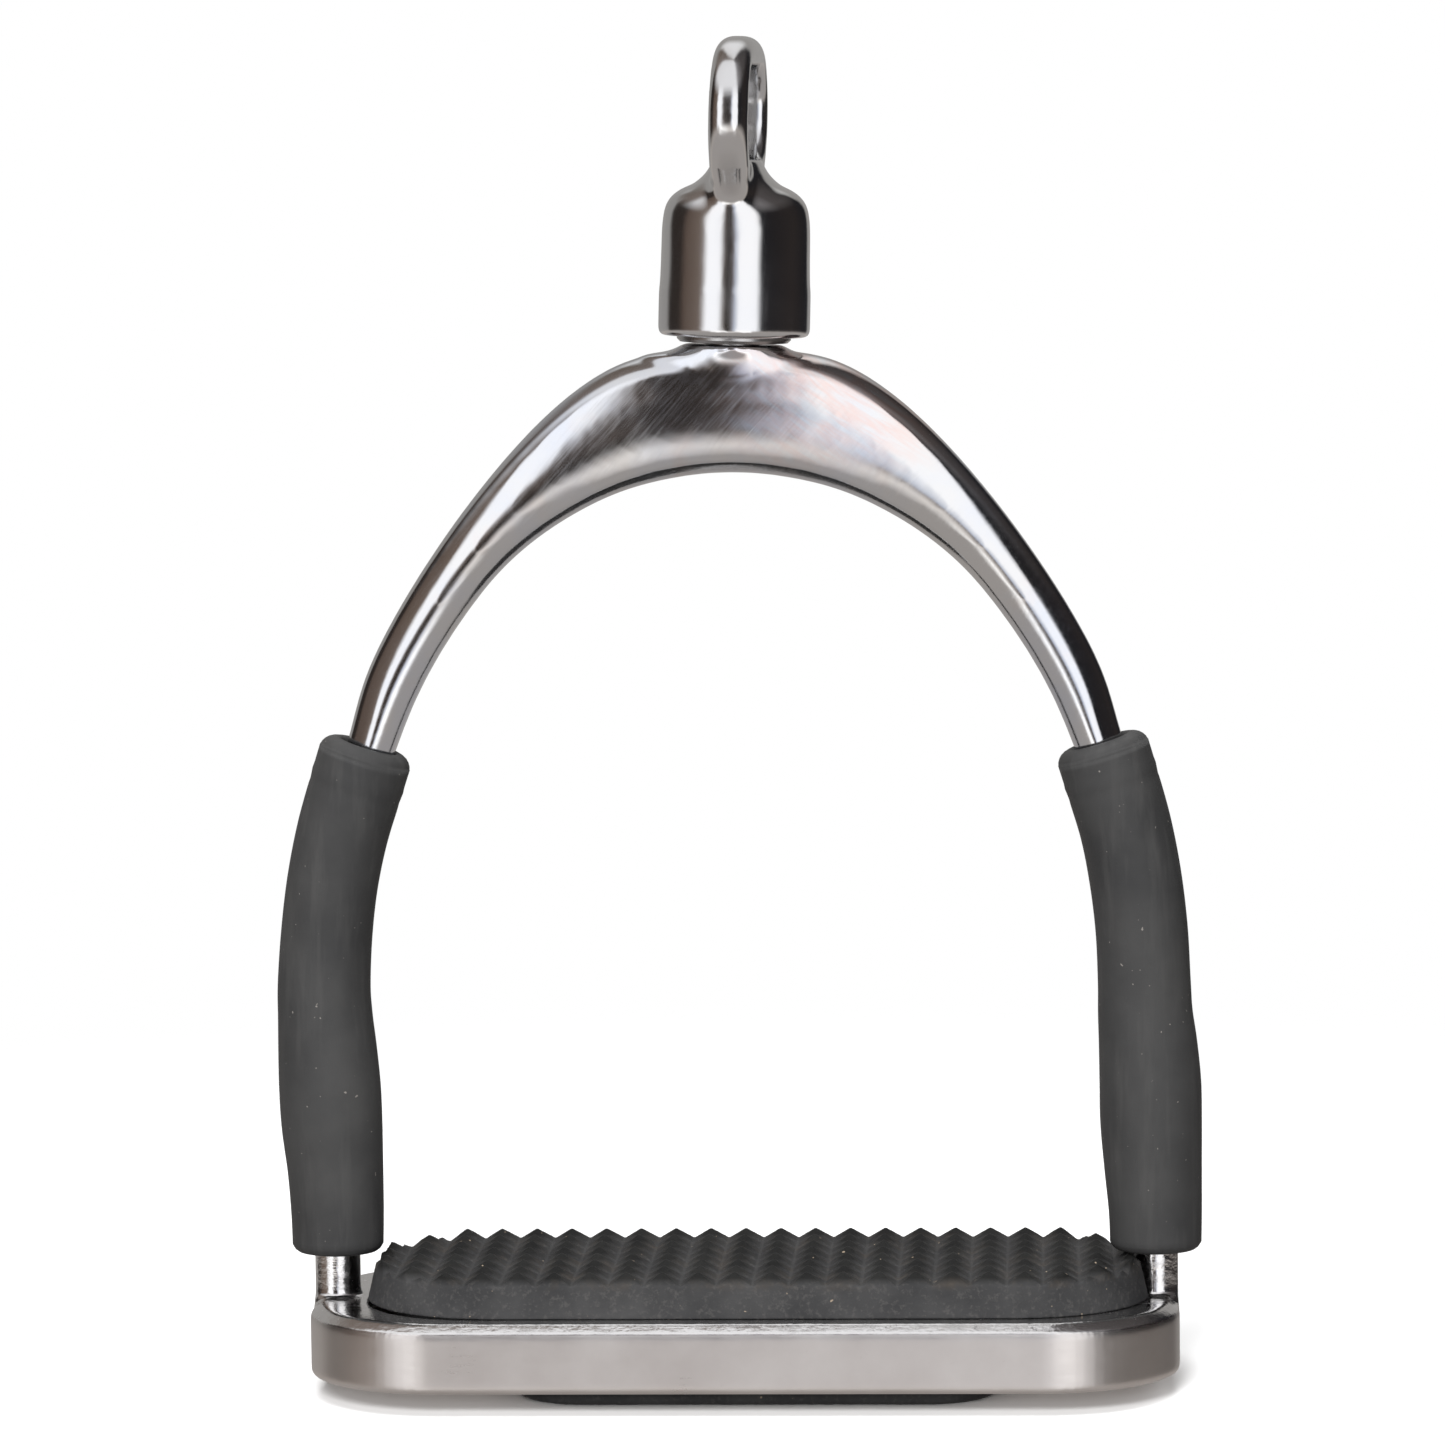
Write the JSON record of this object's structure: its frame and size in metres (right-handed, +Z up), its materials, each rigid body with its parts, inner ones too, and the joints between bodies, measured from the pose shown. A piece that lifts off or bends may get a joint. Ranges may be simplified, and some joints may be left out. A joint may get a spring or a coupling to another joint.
{
  "type": "stirrup iron",
  "caption": "Jointed riding stirrup iron: studded rubber tread in a metal frame, rubber-sleeved hinged sides, a pointed metal arch and a swivelling top eye.",
  "frame": {"origin": "on the ground under the middle of the tread, at the underside of the pad's retaining lip", "axes": "+X across the tread's width, +Y fore and aft through the foot opening, +Z up to the eye"},
  "size_m": [0.1439, 0.0542, 0.2095],
  "materials": {
    "polished_steel": "mirror polished",
    "satin_steel": "satin polished",
    "machined_steel": "machined",
    "bearing_bronze": "machined",
    "stud_rubber": "moulded matte",
    "sleeve_rubber": "smooth matte"
  },
  "bodies": {
    "tread": {"tread_frame": "satin_steel", "tread_pad": "stud_rubber"},
    "side_links": {"left_inner_link_plate": "machined_steel", "left_outer_link_plate": "machined_steel", "right_inner_link_plate": "machined_steel", "right_outer_link_plate": "machined_steel", "left_lower_rivet": "machined_steel", "left_upper_rivet": "machined_steel", "right_lower_rivet": "machined_steel", "right_upper_rivet": "machined_steel", "left_sleeve": "sleeve_rubber", "right_sleeve": "sleeve_rubber"},
    "arch": {"arch": "polished_steel", "swivel_stud": "machined_steel"},
    "swivel": {"swivel_eye": "polished_steel", "closing_disc": "machined_steel", "thrust_washer": "bearing_bronze"}
  },
  "joints": [
    {"name": "lower_side_hinge", "type": "hinge", "parent": "tread", "child": "side_links", "pos_m": [0, 0, 0.0381], "axis": [1, 0, 0], "range_deg": [-20, 20], "stiffness_Nm_per_rad": 4, "deforming": ["left_sleeve", "right_sleeve"]},
    {"name": "upper_side_hinge", "type": "hinge", "parent": "side_links", "child": "arch", "pos_m": [0, 0, 0.0541], "axis": [1, 0, 0], "range_deg": [-20, 20], "stiffness_Nm_per_rad": 4, "deforming": ["left_sleeve", "right_sleeve"]},
    {"name": "eye_swivel", "type": "hinge", "parent": "arch", "child": "swivel", "pos_m": [-0.00018, 0, 0.16409], "axis": [0.0314, 0, 0.9995], "continuous": true}
  ]
}
